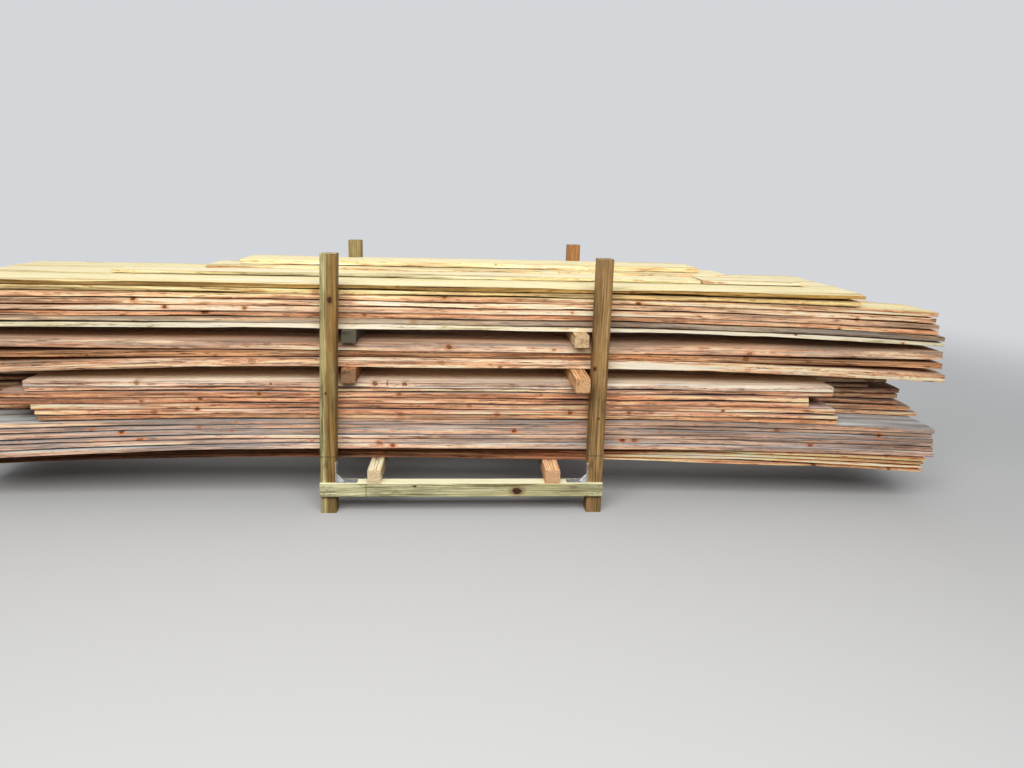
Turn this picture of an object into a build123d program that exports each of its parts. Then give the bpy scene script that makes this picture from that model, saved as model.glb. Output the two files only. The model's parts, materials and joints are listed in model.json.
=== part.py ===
"""Long sawn boards stacked in a timber cradle, in layers with cross spacers between the packs.

X runs along the boards, Y from the front of the cradle to its back, Z up.
The origin is on the ground, under the middle of the pile's length and of the cradle's depth.
Millimetres.
"""
import math
import os

from build123d import *

# Cradle: square posts, a cross rail lapped over each pair of feet, two bearers on the rails
post = 76
post_height = 1290
front_left_lean = 30
lean_from = 270
cradle_width = 1410
cradle_depth = 1100
cradle_middle = 119
edge_ease = 3
rail_height = 70
rail_thickness = 70
rail_low = 92
rail_proud = 17
lap_in_post = 35
lap_gap = 0.3
bearer_height = 70
bearer_widths = {"left": 65, "right": 76}
bearer_insets = {"left": 266, "right": 256}
bearer_inset = 2

# Galvanised angle bracket in each inner corner between rail and post
bracket_leg = 105
bracket_width = 46
bracket_plate = 2.5
bracket_bend = 4
rib_leg = 42
rib_width = 12
bracket_hole = 5.5
bracket_hole_rows = (56, 90)
bracket_hole_side = 14
bracket_shank = 2.2
bracket_screw_length = 35

# Countersunk screws through the rail's lap into the post
screw_head = 10
screw_shank = 5
screw_length = 76
screw_slack = 0.3
screw_places = ((20, 18), (50, 15), (35, 36), (18, 54), (51, 52))

# Packs of boards from the ground up. Each layer: thickness, right end of its front row,
# radius of the arc on which it sags past the supports on the left and on the right, in metres
seam = 2
layer_gap = 0.3
board_length = 5000
short_length = 4500
front_row_length = 4025
bottom_layers = (
    (19, 3163, 28, 37),
    (19, 3170, 28.5, 40),
    (19, 3169, 29, 43),
    (20, 3177, 29.5, 46),
)
grey_layers = (
    (29, 3213, 30, 48),
    (27, 3208, 32.5, 48.1),
    (20, 3205, 35, 48.2),
    (29, 3201, 39, 48.3),
    (21, 3197, 43, 48.4),
    (29, 3204, 48.5, 48.5),
)
lower_layers = (
    (26, 2661, 60, 49),
    (27, 2656, 70, 55),
    (28, 2641, 80, 65),
    (29, 2492, 90, 80),
    (30, 2488, 100, 95),
    (22, 2620, 120, 110),
    (32, 2616, 150, 140),
)
lower_rear_ends = (3229, 3215, 3129, 3122, 3126, 2937, 3035)
middle_layers = (
    (51, 3208, 32, 36),
    (32, 3186, 60, 60),
    (45, 3181, None, 130),
)
upper_layers = (
    (27, 3182, 110, 33),
    (27, 3179, 111, 36),
    (24, 3143, 112, 38),
    (30, 3139, 113, 40),
    (29, 3121, 170, 42),
    (29, 3131, 400, 46),
    (27, 2706, None, 60),
    (24, 2750, None, 150),
)
bottom_width = 200
grey_width = 150
middle_width = 225
wide_width = 300
pack_front = 85
bottom_front = 145
bottom_turn = -1.7

# Loose boards on top: how high above the pack, thickness, front, width, left end, right end
loose_gap = 8
lower_thickness = 28
upper_setback = 80
second_row = pack_front + wide_width + seam
loose_rear = second_row + middle_width + loose_gap
loose_boards = (
    ("front", 0, 18, second_row, middle_width, -1100, 1975),
    ("short", 0, 20, second_row, middle_width, 1985, 2548),
    ("lower", 0, lower_thickness, loose_rear, wide_width, -712, 2210),
    ("upper", lower_thickness, 30, loose_rear + upper_setback, wide_width, -545, 2056),
)
loose_sag = 151

# Cross spacers between the packs: how far the middle of each lies from the outer face of the
# post on its side, and where its front end is
lower_spacer = 72
upper_spacer = 63
spacer_width = 70
spacer_places = {
    "upper_left": (147, 50),
    "upper_right": (136, 5),
    "lower_left": (141, 50),
    "lower_right": (138, -100),
}
spacer_length = 1150
groove_width = 6
groove_depth = 4

# Where the boards leave the supports and start to sag, in from each post's outer face
flat_from = 200
flat_to = cradle_width - 190


def at_x(x):
    """From the left post's outer face to the pile's own X."""
    return x - cradle_width / 2 + cradle_middle


def on_side(side, inset):
    """The X of something that lies that far in from the outer face of the post on its side."""
    return at_x(inset if side == "left" else cradle_width - inset)


def at_y(y):
    """From the front posts' front face to the pile's own Y."""
    return y - cradle_depth / 2


def block(x0, x1, y0, y1, z0, z1):
    """A box between two corners."""
    box = Box(x1 - x0, y1 - y0, z1 - z0, align=(Align.MIN, Align.MIN, Align.MIN))
    return Pos(x0, y0, z0) * box


def eased(solid, axis, size):
    """Takes the sharp arris off the edges that run along one axis."""
    return chamfer(solid.edges().filter_by(axis), size)


def save(node, solids):
    """Writes one named node."""
    shape = solids[0] if len(solids) == 1 else Compound(children=solids)
    export_step(shape, f"parts/{node}.step")


def resting(x, z, low, thickness, sags):
    """A point of a resting board: level between the supports, on an arc that sags past them."""
    start, stop = at_x(flat_from), at_x(flat_to)
    edge, sag = (start, sags[0]) if x < start else (stop, sags[1])
    if start <= x <= stop or sag is None:
        return Vector(x, 0, z)
    radius = sag * 1000
    angle = (x - edge) / (radius + thickness / 2)
    reach = radius + z - low
    return Vector(edge + reach * math.sin(angle), 0, low - radius + reach * math.cos(angle))


def board(left, right, low, thickness, front, width, sags):
    """One board, its ends square to its own length."""
    stations = [left]
    stations += [x for x in (at_x(flat_from), at_x(flat_to)) if left < x < right]
    stations.append(right)
    rows = []
    for z in (low, low + thickness):
        row = []
        for x0, x1 in zip(stations, stations[1:]):
            points = [resting(x, z, low, thickness, sags) for x in (x0, (x0 + x1) / 2, x1)]
            bulge = (points[2] - points[0]).cross(points[1] - points[0]).length
            if bulge < 1e-3:
                row.append(Edge.make_line(points[0], points[2]))
            else:
                row.append(Edge.make_three_point_arc(*points))
        rows.append(row)
    under, over = rows
    ends = [Edge.make_line(under[0] @ 0, over[0] @ 0), Edge.make_line(under[-1] @ 1, over[-1] @ 1)]
    face = Face(Wire(under + over + ends))
    return Pos(0, front, 0) * extrude(face, amount=width, dir=(0, 1, 0))


def stagger(layer, column):
    """The rows behind the front one aren't flush: how far a board is pushed along."""
    return 0 if column == 0 else (layer * 37 + column * 53) % 9 * 3 - 12


def make_layer(index, low, layer, front, widths, lengths, rear_end=None):
    """The boards of one layer, side by side, each its own solid."""
    thickness, front_end, left_sag, right_sag = layer
    solids = []
    y = at_y(front)
    for column, width in enumerate(widths):
        end = rear_end if column and rear_end else front_end
        right = at_x(end + stagger(index, column))
        length = lengths[min(column, len(lengths) - 1)]
        sags = (left_sag, right_sag)
        solids.append(board(right - length, right, low, thickness - layer_gap, y, width, sags))
        y += width + seam
    return solids


def numbered(layers, low):
    """Number from the top, index from the ground, height and values of each layer of a pack."""
    for index, layer in enumerate(layers):
        yield len(layers) - index, index, low, layer
        low += layer[0]


def height_of(layers):
    """How tall a pack is."""
    return sum(layer[0] for layer in layers)


def leaning_post(lean):
    """A square post that leans to the right above its bracket, with eased arrises."""
    line = [
        (0, 0),
        (post, 0),
        (post, lean_from),
        (post + lean, post_height),
        (lean, post_height),
        (0, lean_from),
    ]
    body = extrude(Plane.XZ * Polygon(*line, align=None), amount=-post)
    arrises = [e for e in body.edges() if abs(e.tangent_at(0.5).Z) > 0.9]
    return chamfer(arrises, edge_ease)


def make_post(side, end):
    """An upright with the notch for its rail; the front left one is drawn, the rest mirror it."""
    if (side, end) == ("left", "front"):
        body = leaning_post(front_left_lean)
    else:
        body = eased(block(0, post, 0, post, 0, post_height), Axis.Z, edge_ease)
    top = body.faces().sort_by(Axis.Z)[-1].edges()
    body = chamfer(top, 1.5)
    notch = block(-1, post + 1, -1, lap_in_post, rail_low, rail_low + rail_height + lap_gap)
    body -= notch
    for x, z in screw_places:
        body -= screw_hole(x, z)
    return placed(body, side, end)


def placed(body, side, end):
    """Moves a piece drawn at the front left corner of the cradle to its own corner."""
    if side == "right":
        body = mirror(body, Plane.YZ.offset(cradle_width / 2))
    if end == "rear":
        body = mirror(body, Plane.XZ.offset(-cradle_depth / 2))
    return Pos(at_x(0), at_y(0), 0) * body


def screw_at(x, z):
    """The place of a rail screw's head, on the rail's front face."""
    return Pos(x, -rail_proud, rail_low + z) * Rot(-90, 0, 0)


def prism(radius, low, high, top_radius=None):
    """An eight-sided pin between two heights, tapered if its top has its own radius."""
    foot = Pos(0, 0, low) * RegularPolygon(radius, 8)
    head = Pos(0, 0, high) * RegularPolygon(top_radius or radius, 8)
    return loft([foot.face(), head.face()])


def screw_body(slack):
    """A countersunk screw, its head face on the XY plane, its tip along +Z."""
    head = screw_head / 2 + slack
    shank = screw_shank / 2 + slack
    return prism(head, 0, head - shank, shank) + prism(shank, head - shank, screw_length + 3 * slack)


def screw_hole(x, z):
    """The room that one screw takes in the wood."""
    return screw_at(x, z) * screw_body(screw_slack)


def screw(x, z):
    """One countersunk screw with a square recess, its head just below the rail's face."""
    recess = extrude(Rectangle(3, 3), amount=1.6)
    return screw_at(x, z) * (Pos(0, 0, screw_slack) * (screw_body(0) - recess))


def make_rail():
    """A cross rail: full section between the posts, rebated at the back where it laps them."""
    back = -rail_proud + rail_thickness
    body = block(0, cradle_width, -rail_proud, back, rail_low, rail_low + rail_height)
    body = eased(body, Axis.X, edge_ease)
    for x0, x1 in ((-1, post + lap_gap), (cradle_width - post - lap_gap, cradle_width + 1)):
        body -= block(x0, x1, lap_in_post - lap_gap, back + 1, 0, post_height)
    for x, z in screw_places:
        body -= screw_hole(x, z)
        body -= screw_hole(cradle_width - x, z)
    return body


def rail_screws():
    """The screws of one rail, both ends."""
    solids = []
    for x, z in screw_places:
        solids += [screw(x, z), screw(cradle_width - x, z)]
    return solids


def at_end(solid, end):
    """Moves a piece drawn for the front of the cradle to the front or the rear."""
    if end == "rear":
        solid = mirror(solid, Plane.XZ.offset(-cradle_depth / 2))
    return Pos(at_x(0), at_y(0), 0) * solid


def bracket_corner():
    """The inner corner of the front left post and the rail's top."""
    y = (lap_in_post + 18) / 2 - rail_proud / 2
    return Pos(post, y, rail_low + rail_height)


def make_bracket():
    """A pressed angle bracket: two drilled legs, a bent corner and a stiffening rib."""
    t = bracket_plate
    leg = bracket_leg
    points = [(bracket_bend, 0), (leg, 0), (leg, t), (t, t), (t, leg), (0, leg), (0, bracket_bend)]
    plate = extrude(make_face(Plane.XZ * Polyline(*points, close=True)), amount=bracket_width / 2, both=True)
    tips = plate.edges().filter_by(Axis.Z).sort_by(Axis.X)[-2:]
    tips += plate.edges().filter_by(Axis.X).sort_by(Axis.Z)[-2:]
    plate = chamfer(tips, 5)
    ridge = make_face(Plane.XZ * Polyline((t - 1, t - 1), (rib_leg, t - 1), (t - 1, rib_leg), close=True))
    rib = extrude(ridge, amount=rib_width / 2, both=True)
    slope = rib.faces().sort_by(lambda f: f.center().X + f.center().Z)[-1]
    plate += chamfer(slope.edges().filter_by(Axis.Y, reverse=True), 3)
    hole = extrude(RegularPolygon(bracket_hole / 2, 8), amount=2 * t, both=True)
    for row in bracket_hole_rows:
        for side in (-1, 1):
            y = side * bracket_hole_side
            plate -= Pos(row, y, 0) * hole
            plate -= Pos(0, y, row) * Rot(0, 90, 0) * hole
    return bracket_corner() * plate


def pan_screw():
    """A pan head screw, the underside of its head on the XY plane, its tip along -Z."""
    return prism(4.6, 0, 2.6, 3.2) + prism(bracket_shank, -bracket_screw_length, 0)


def bracket_screw_places():
    """Where the bracket's screws sit, heads on the plate."""
    t = bracket_plate
    places = []
    for row, side in zip(bracket_hole_rows, (-1, 1)):
        y = side * bracket_hole_side
        places.append(bracket_corner() * Pos(row, y, t))
        places.append(bracket_corner() * Pos(t, y, row) * Rot(0, 90, 0))
    return places


def bracket_holes():
    """The room the bracket's screws take in the wood."""
    hole = prism(bracket_shank + screw_slack, -bracket_screw_length - 1, 0)
    return [place * hole for place in bracket_screw_places()]


def spacer(name, low, height, grooved):
    """A cross spacer, front to back between two packs."""
    inset, front = spacer_places[name]
    x = on_side(name.split("_")[1], inset)
    back = front + spacer_length
    top = low + height - layer_gap
    solid = eased(block(x - spacer_width / 2, x + spacer_width / 2, front, back, low, top), Axis.Y, 2)
    if grooved:
        for k in (-3, -1, 1, 3):
            left = x + k * 8 - groove_width / 2
            solid -= block(left, left + groove_width, front - 1, back + 1, top - groove_depth, top + 1)
    return Pos(0, at_y(0), 0) * solid


os.makedirs("parts", exist_ok=True)

# Cradle
front_holes = bracket_holes()
for side in ("left", "right"):
    for end in ("front", "rear"):
        upright = make_post(side, end)
        for hole in front_holes:
            upright -= placed(hole, side, end)
        save(f"post_{end}_{side}", [upright])
        save(f"bracket_{end}_{side}", [placed(make_bracket(), side, end)])

rail = make_rail()
for hole in front_holes:
    rail -= hole
    rail -= mirror(hole, Plane.YZ.offset(cradle_width / 2))
for end in ("front", "rear"):
    save(f"rail_{end}", [at_end(rail, end)])

fixings = []
for end in ("front", "rear"):
    fixings += [at_end(one, end) for one in rail_screws()]
save("rail_screws", fixings)

fixings = []
for side in ("left", "right"):
    for end in ("front", "rear"):
        for place in bracket_screw_places():
            fixings.append(placed(place * pan_screw(), side, end))
save("bracket_screws", fixings)

bearer_low = rail_low + rail_height
for side in ("left", "right"):
    x, w = on_side(side, bearer_insets[side]), bearer_widths[side]
    front, back = bearer_inset - rail_proud, cradle_depth + rail_proud - bearer_inset
    solid = eased(block(x - w / 2, x + w / 2, front, back, bearer_low, bearer_low + bearer_height), Axis.Y, 2)
    save(f"bearer_{side}", [Pos(0, at_y(0), 0) * solid])

# Bottom pack, laid a little askew on the bearers
low = bearer_low + bearer_height + layer_gap
askew = Pos(cradle_middle, 0, 0) * Rot(0, 0, bottom_turn) * Pos(-cradle_middle, 0, 0)
for number, index, z, layer in numbered(bottom_layers, low):
    solids = make_layer(index, z, layer, bottom_front, (bottom_width,) * 4, (board_length,))
    save(f"bottom_layer_{number}", [askew * solid for solid in solids])
low += height_of(bottom_layers)

# Weathered boards
for number, index, z, layer in numbered(grey_layers, low):
    solids = make_layer(index, z, layer, pack_front, (grey_width,) * 6, (board_length,))
    save(f"grey_layer_{number}", solids)
low += height_of(grey_layers)

# Lower pack: a shorter front row, longer rows behind it
lengths = (front_row_length, board_length)
for number, index, z, layer in numbered(lower_layers, low):
    rear = lower_rear_ends[index]
    solids = make_layer(index, z, layer, pack_front, (middle_width,) * 4, lengths, rear)
    save(f"lower_layer_{number}", solids)
low += height_of(lower_layers)

save("spacer_lower_left", [spacer("lower_left", low, lower_spacer, False)])
save("spacer_lower_right", [spacer("lower_right", low, lower_spacer, True)])
low += lower_spacer

# Middle pack of thicker timber
for number, index, z, layer in numbered(middle_layers, low):
    solids = make_layer(index, z, layer, pack_front, (middle_width,) * 4, (board_length,))
    save(f"middle_layer_{number}", solids)
low += height_of(middle_layers)

save("spacer_upper_left", [spacer("upper_left", low, upper_spacer, False)])
save("spacer_upper_right", [spacer("upper_right", low, upper_spacer, False)])
low += upper_spacer

# Upper pack: the two top layers are shorter boards, and so are the rear boards of the third
for number, index, z, layer in numbered(upper_layers, low):
    lengths = (short_length,) if number < 3 else (board_length,)
    rear = None
    if number == 3:
        lengths = (board_length, short_length)
        rear = upper_layers[-1][1]
    solids = make_layer(index, z, layer, pack_front, (wide_width,) * 3, lengths, rear)
    save(f"upper_layer_{number}", solids)
low += height_of(upper_layers)

# Loose boards on top
for name, lift, thickness, front, width, left, right in loose_boards:
    layer = (thickness, right, None, loose_sag + lift / 10)
    save(f"top_board_{name}", make_layer(0, low + lift, layer, front, (width,), (right - left,)))
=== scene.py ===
"""The looks of a stack of sawn boards in its timber cradle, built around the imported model.

Each layer of boards is drawn again as rough sawn timber: one closed mesh for each board, with waney
edges, warp, chipped ends and knots. The cradle keeps its solids and gets its own wood.
Metres, X along the boards, Y to the back, Z up.
"""
import json
import math
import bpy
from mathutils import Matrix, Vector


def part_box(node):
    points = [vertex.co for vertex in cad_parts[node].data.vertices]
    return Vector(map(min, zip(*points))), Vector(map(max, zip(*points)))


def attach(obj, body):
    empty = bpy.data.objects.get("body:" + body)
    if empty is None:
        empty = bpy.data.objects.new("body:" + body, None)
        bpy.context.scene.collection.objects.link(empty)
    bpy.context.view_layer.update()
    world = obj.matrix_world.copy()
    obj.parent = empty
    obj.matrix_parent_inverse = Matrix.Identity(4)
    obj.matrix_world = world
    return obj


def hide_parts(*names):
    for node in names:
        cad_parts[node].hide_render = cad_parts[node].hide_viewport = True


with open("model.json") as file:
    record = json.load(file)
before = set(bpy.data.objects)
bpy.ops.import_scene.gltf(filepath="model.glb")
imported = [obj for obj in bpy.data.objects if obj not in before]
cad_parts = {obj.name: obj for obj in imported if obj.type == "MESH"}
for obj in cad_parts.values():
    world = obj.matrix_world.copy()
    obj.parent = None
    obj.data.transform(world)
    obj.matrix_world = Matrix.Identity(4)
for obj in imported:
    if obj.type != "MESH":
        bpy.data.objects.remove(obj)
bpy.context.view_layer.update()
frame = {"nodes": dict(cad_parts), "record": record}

import zlib

import bpy
import numpy as np
from mathutils import Matrix, Vector

nodes = frame["nodes"]


# Camera, as fitted to the photograph: its place is given from the left front post's foot

FRAME_WIDTH = 1024
FOCAL_PIXELS = 710.859
PITCH, ROLL, YAW = 0.210814, 0.0266065, 0.0707612
CAMERA_PLACE = (0.69576, -3.35277, 1.56388)
HORIZON_SHIFT = -34
SENSOR = 36
CLIP = (0.05, 60)


def left_foot():
    """The front left foot's outer corner, from which the photograph was measured."""
    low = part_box("post_front_left")[0]
    return Vector((low.x, low.y, 0))


def make_camera():
    """The camera at the photograph's viewing angle."""
    sp, cp = math.sin(PITCH), math.cos(PITCH)
    sr, cr = math.sin(ROLL), math.cos(ROLL)
    sy, cy = math.sin(YAW), math.cos(YAW)
    base = np.array([[1, 0, 0], [0, -sp, -cp], [0, cp, -sp]])
    turn = np.array([[cr, -sr, 0], [sr, cr, 0], [0, 0, 1]])
    spin = np.array([[cy, -sy, 0], [sy, cy, 0], [0, 0, 1]])
    right, down, ahead = turn @ base @ spin
    data = bpy.data.cameras.new("camera")
    data.sensor_width = SENSOR
    data.lens = FOCAL_PIXELS * SENSOR / FRAME_WIDTH
    data.shift_y = HORIZON_SHIFT / FRAME_WIDTH
    data.clip_start, data.clip_end = CLIP
    camera = bpy.data.objects.new("camera", data)
    bpy.context.scene.collection.objects.link(camera)
    place = left_foot() + Vector(CAMERA_PLACE)
    axes = Matrix((right, -down, -ahead)).transposed().to_4x4()
    camera.matrix_world = Matrix.Translation(place) @ axes
    bpy.context.scene.camera = camera


# Light and stage

SKY_COLOUR = (0.92, 0.96, 1.0, 1)
SKY_LEAN = (0.0, -0.2, 0.98)
SKY_RISE = (0.25, 0.9)
SKY_LIGHT = 0.72
# Each lamp's place, the point that it looks at, its size and its power
LAMPS = {
    "sky": ((-0.4, -4.6, 4.4), (0, 0, 0.6), (7, 3), 435),
    "back": ((0.4, 3.5, 1.7), (0, 0, 0.7), (6, 1.6), 80),
}
PALE_FLOOR = (0.5, 0.496, 0.488, 1)
DARK_FLOOR = (0.07, 0.068, 0.065, 1)
BACKDROP = (0.66, 0.675, 0.7, 1)
FLOOR_RADIUS, FLOOR_CORNERS = 45.0, 64
FLOOR_FADE = (3.2, 9.0)


def area_light(name, place, target, size, power):
    """One soft lamp that looks at a point."""
    data = bpy.data.lights.new(name, "AREA")
    data.shape = "RECTANGLE"
    data.size, data.size_y = size
    data.energy = power
    lamp = bpy.data.objects.new(name, data)
    lamp.location = place
    lamp.visible_camera = False
    lamp.rotation_euler = (Vector(target) - Vector(place)).to_track_quat("-Z", "Y").to_euler()
    bpy.context.scene.collection.objects.link(lamp)


def seen_rays(tree):
    """1 for rays that come from the camera, a mirror or glass, 0 for the ones that light things."""
    path = tree.nodes.new("ShaderNodeLightPath")
    found = path.outputs["Is Camera Ray"]
    for way in ("Is Glossy Ray", "Is Transmission Ray"):
        either = tree.nodes.new("ShaderNodeMath")
        either.operation = "MAXIMUM"
        tree.links.new(found, either.inputs[0])
        tree.links.new(path.outputs[way], either.inputs[1])
        found = either.outputs[0]
    return found


def make_light():
    """A soft sky that is bright overhead and in front, dark below and behind, and pale to the eye."""
    world = bpy.data.worlds.new("world")
    world.use_nodes = True
    tree = world.node_tree
    back = tree.nodes["Background"]
    back.inputs[0].default_value = SKY_COLOUR
    way = tree.nodes.new("ShaderNodeTexCoord").outputs["Generated"]
    lean = tree.nodes.new("ShaderNodeVectorMath")
    lean.operation = "DOT_PRODUCT"
    lean.inputs[1].default_value = SKY_LEAN
    tree.links.new(way, lean.inputs[0])
    ramp = tree.nodes.new("ShaderNodeMapRange")
    ramp.inputs["From Min"].default_value, ramp.inputs["From Max"].default_value = SKY_RISE
    ramp.inputs["To Max"].default_value = SKY_LIGHT
    tree.links.new(lean.outputs["Value"], ramp.inputs["Value"])
    tree.links.new(ramp.outputs[0], back.inputs[1])
    seen = tree.nodes.new("ShaderNodeBackground")
    seen.inputs[0].default_value = BACKDROP
    seen.inputs[1].default_value = 1.0
    mix = tree.nodes.new("ShaderNodeMixShader")
    tree.links.new(seen_rays(tree), mix.inputs[0])
    tree.links.new(back.outputs[0], mix.inputs[1])
    tree.links.new(seen.outputs[0], mix.inputs[2])
    tree.links.new(mix.outputs[0], tree.nodes["World Output"].inputs[0])
    bpy.context.scene.world = world
    for name, settings in LAMPS.items():
        area_light(name, *settings)


def floor_material():
    """Pale to the eye, darker for the light that it throws back, and the backdrop's colour far out."""
    g = Graph("floor")
    seen = seen_rays(g.tree)
    g.plug(g.mix(seen, DARK_FLOOR, PALE_FLOOR), g.shader.inputs["Base Color"])
    g.shader.inputs["Roughness"].default_value = 0.9
    g.shader.inputs["Specular IOR Level"].default_value = 0.1
    away = g.step(g.vector("LENGTH", g.object_place()), *FLOOR_FADE)
    glow = g.tree.nodes.new("ShaderNodeEmission")
    glow.inputs["Color"].default_value = BACKDROP
    blend = g.tree.nodes.new("ShaderNodeMixShader")
    g.plug(g.times(away, seen), blend.inputs[0])
    g.plug(g.shader.outputs[0], blend.inputs[1])
    g.plug(glow.outputs[0], blend.inputs[2])
    g.plug(blend.outputs[0], g.tree.nodes["Material Output"].inputs[0])
    g.material.cycles.emission_sampling = "NONE"
    return g.material


def make_stage():
    """A plain pale floor that fades into the backdrop's colour all round."""
    mesh = bpy.data.meshes.new("floor")
    turns = [math.tau * k / FLOOR_CORNERS for k in range(FLOOR_CORNERS)]
    rim = [(FLOOR_RADIUS * math.cos(a), FLOOR_RADIUS * math.sin(a), 0) for a in turns]
    mesh.from_pydata(rim, [], [range(FLOOR_CORNERS)])
    floor = bpy.data.objects.new("floor", mesh)
    bpy.context.scene.collection.objects.link(floor)
    mesh.materials.append(floor_material())


# Shader graphs


class Graph:
    """A short hand for building one material's nodes."""

    def __init__(self, name):
        self.material = bpy.data.materials.new(name)
        self.material.use_nodes = True
        self.tree = self.material.node_tree
        self.shader = self.tree.nodes["Principled BSDF"]

    def plug(self, source, socket):
        """Links a socket, or sets a plain value."""
        if isinstance(source, bpy.types.NodeSocket):
            self.tree.links.new(source, socket)
        else:
            socket.default_value = source

    def math(self, operation, a, b=0.0, clamp=False):
        node = self.tree.nodes.new("ShaderNodeMath")
        node.operation = operation
        node.use_clamp = clamp
        self.plug(a, node.inputs[0])
        self.plug(b, node.inputs[1])
        return node.outputs[0]

    def times(self, first, *others):
        """The product of two or more values."""
        for other in others:
            first = self.math("MULTIPLY", first, other)
        return first

    def spread(self, value, base, reach):
        """A value from 0 to 1 as one that starts at a base and reaches past it."""
        return self.math("ADD", base, self.times(value, reach))

    def centred(self, value, reach):
        """A value from 0 to 1 as one that swings about 0."""
        return self.times(self.math("SUBTRACT", value, 0.5), reach)

    def vector(self, operation, a, b=(0, 0, 0)):
        node = self.tree.nodes.new("ShaderNodeVectorMath")
        node.operation = operation
        self.plug(a, node.inputs[0])
        self.plug(b, node.inputs[1])
        return node.outputs[1 if operation in ("LENGTH", "DOT_PRODUCT") else 0]

    def attribute(self, name, output="Vector"):
        node = self.tree.nodes.new("ShaderNodeAttribute")
        node.attribute_name = name
        return node.outputs[output]

    def object_place(self):
        return self.tree.nodes.new("ShaderNodeTexCoord").outputs["Object"]

    def split(self, vector):
        node = self.tree.nodes.new("ShaderNodeSeparateXYZ")
        self.plug(vector, node.inputs[0])
        return node.outputs

    def join(self, x, y, z):
        node = self.tree.nodes.new("ShaderNodeCombineXYZ")
        for value, socket in zip((x, y, z), node.inputs):
            self.plug(value, socket)
        return node.outputs[0]

    def noise(self, vector, scale=1.0, detail=2.0, rough=0.5):
        node = self.tree.nodes.new("ShaderNodeTexNoise")
        self.plug(vector, node.inputs["Vector"])
        node.inputs["Scale"].default_value = scale
        node.inputs["Detail"].default_value = detail
        node.inputs["Roughness"].default_value = rough
        return node.outputs["Fac"]

    def stretched(self, vector, scale, detail=2.0, rough=0.5):
        """Noise in a space that is stretched by its own factor along each axis."""
        return self.noise(self.vector("MULTIPLY", vector, scale), 1.0, detail, rough)

    def step(self, value, low, high):
        """0 below low, 1 above high, smooth between."""
        node = self.tree.nodes.new("ShaderNodeMapRange")
        node.interpolation_type = "SMOOTHSTEP"
        self.plug(value, node.inputs["Value"])
        node.inputs["From Min"].default_value = low
        node.inputs["From Max"].default_value = high
        return node.outputs[0]

    def marks(self, place, scale, detail, rough, low, high):
        """1 in streaks, flecks or blotches of stretched noise, 0 between them."""
        return self.step(self.stretched(place, scale, detail, rough), low, high)

    def mix(self, amount, a, b, blend="MIX"):
        node = self.tree.nodes.new("ShaderNodeMix")
        node.data_type = "RGBA"
        node.blend_type = blend
        self.plug(amount, node.inputs[0])
        self.plug(a, node.inputs[6])
        self.plug(b, node.inputs[7])
        return node.outputs[2]

    def over(self, colour, other, strength, *masks):
        """Lays another colour over the first, at a strength, where all the masks are."""
        return self.mix(self.times(*masks, strength), colour, other)

    def tinted(self, colour, tint):
        return self.mix(1.0, colour, tint, "MULTIPLY")

    def lit(self, colour, glow):
        """The colour made lighter or darker by a value."""
        return self.tinted(colour, self.join(glow, glow, glow))

    def facing(self, axis):
        """1 on faces square to an axis of the frame, 0 on the others."""
        node = self.tree.nodes.new("ShaderNodeNewGeometry")
        value = self.split(node.outputs["True Normal"])[axis]
        return self.step(self.math("ABSOLUTE", value), 0.72, 0.8)

    def relief(self, strength, distance, *layers):
        """A bump from heights, each with how far it rises, or sinks when that is below 0."""
        height = self.times(*layers[0])
        for layer, rise in layers[1:]:
            operation = "ADD" if rise > 0 else "SUBTRACT"
            height = self.math(operation, height, self.times(layer, abs(rise)))
        node = self.tree.nodes.new("ShaderNodeBump")
        node.inputs["Strength"].default_value = strength
        node.inputs["Distance"].default_value = distance
        self.plug(height, node.inputs["Height"])
        self.plug(node.outputs[0], self.shader.inputs["Normal"])

    def finish(self, colour, roughness, specular):
        self.plug(colour, self.shader.inputs["Base Color"])
        self.plug(roughness, self.shader.inputs["Roughness"])
        self.shader.inputs["Specular IOR Level"].default_value = specular
        return self.material


def linear(red, green, blue):
    """A display colour, 0 to 255, as Blender's linear colour."""
    def channel(value):
        value /= 255
        return value / 12.92 if value <= 0.04045 else ((value + 0.055) / 1.055) ** 2.4
    return (channel(red), channel(green), channel(blue), 1)


EULER = 2.718
LATEWOOD = (0.35, 0.9)
LATEWOOD_STOP = (1.0, 0.93)
KNOT_PUSH, KNOT_REACH = 0.012, -0.55
STREAKS = ((1.6, 110, 110), 4, 0.62)
FIBRES = ((9, 900, 900), 2, 0.6)


def wood_figure(g, place, knot_far, ring_width):
    """Growth rings and streaks of a board, from a place measured from the log's heart."""
    y, z = g.split(place)[1:3]
    sway = g.centred(g.stretched(place, (1.1, 5, 5), 2), 0.05)
    lift = g.centred(g.stretched(place, (1.7, 4, 7), 1), 0.05)
    across = g.join(0.0, g.math("ADD", y, sway), g.math("ADD", z, lift))
    near = g.math("POWER", EULER, g.times(knot_far, knot_far, KNOT_REACH))
    radius = g.math("ADD", g.vector("LENGTH", across), g.times(near, KNOT_PUSH))
    turn = g.math("FRACT", g.math("DIVIDE", radius, ring_width))
    late = g.times(g.step(turn, *LATEWOOD), g.step(turn, *LATEWOOD_STOP))
    return late, g.stretched(place, *STREAKS), g.stretched(place, *FIBRES)


# Sawn boards. Marks: stretch in 1/m along, across and up, detail, roughness, where they fade in and end

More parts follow.
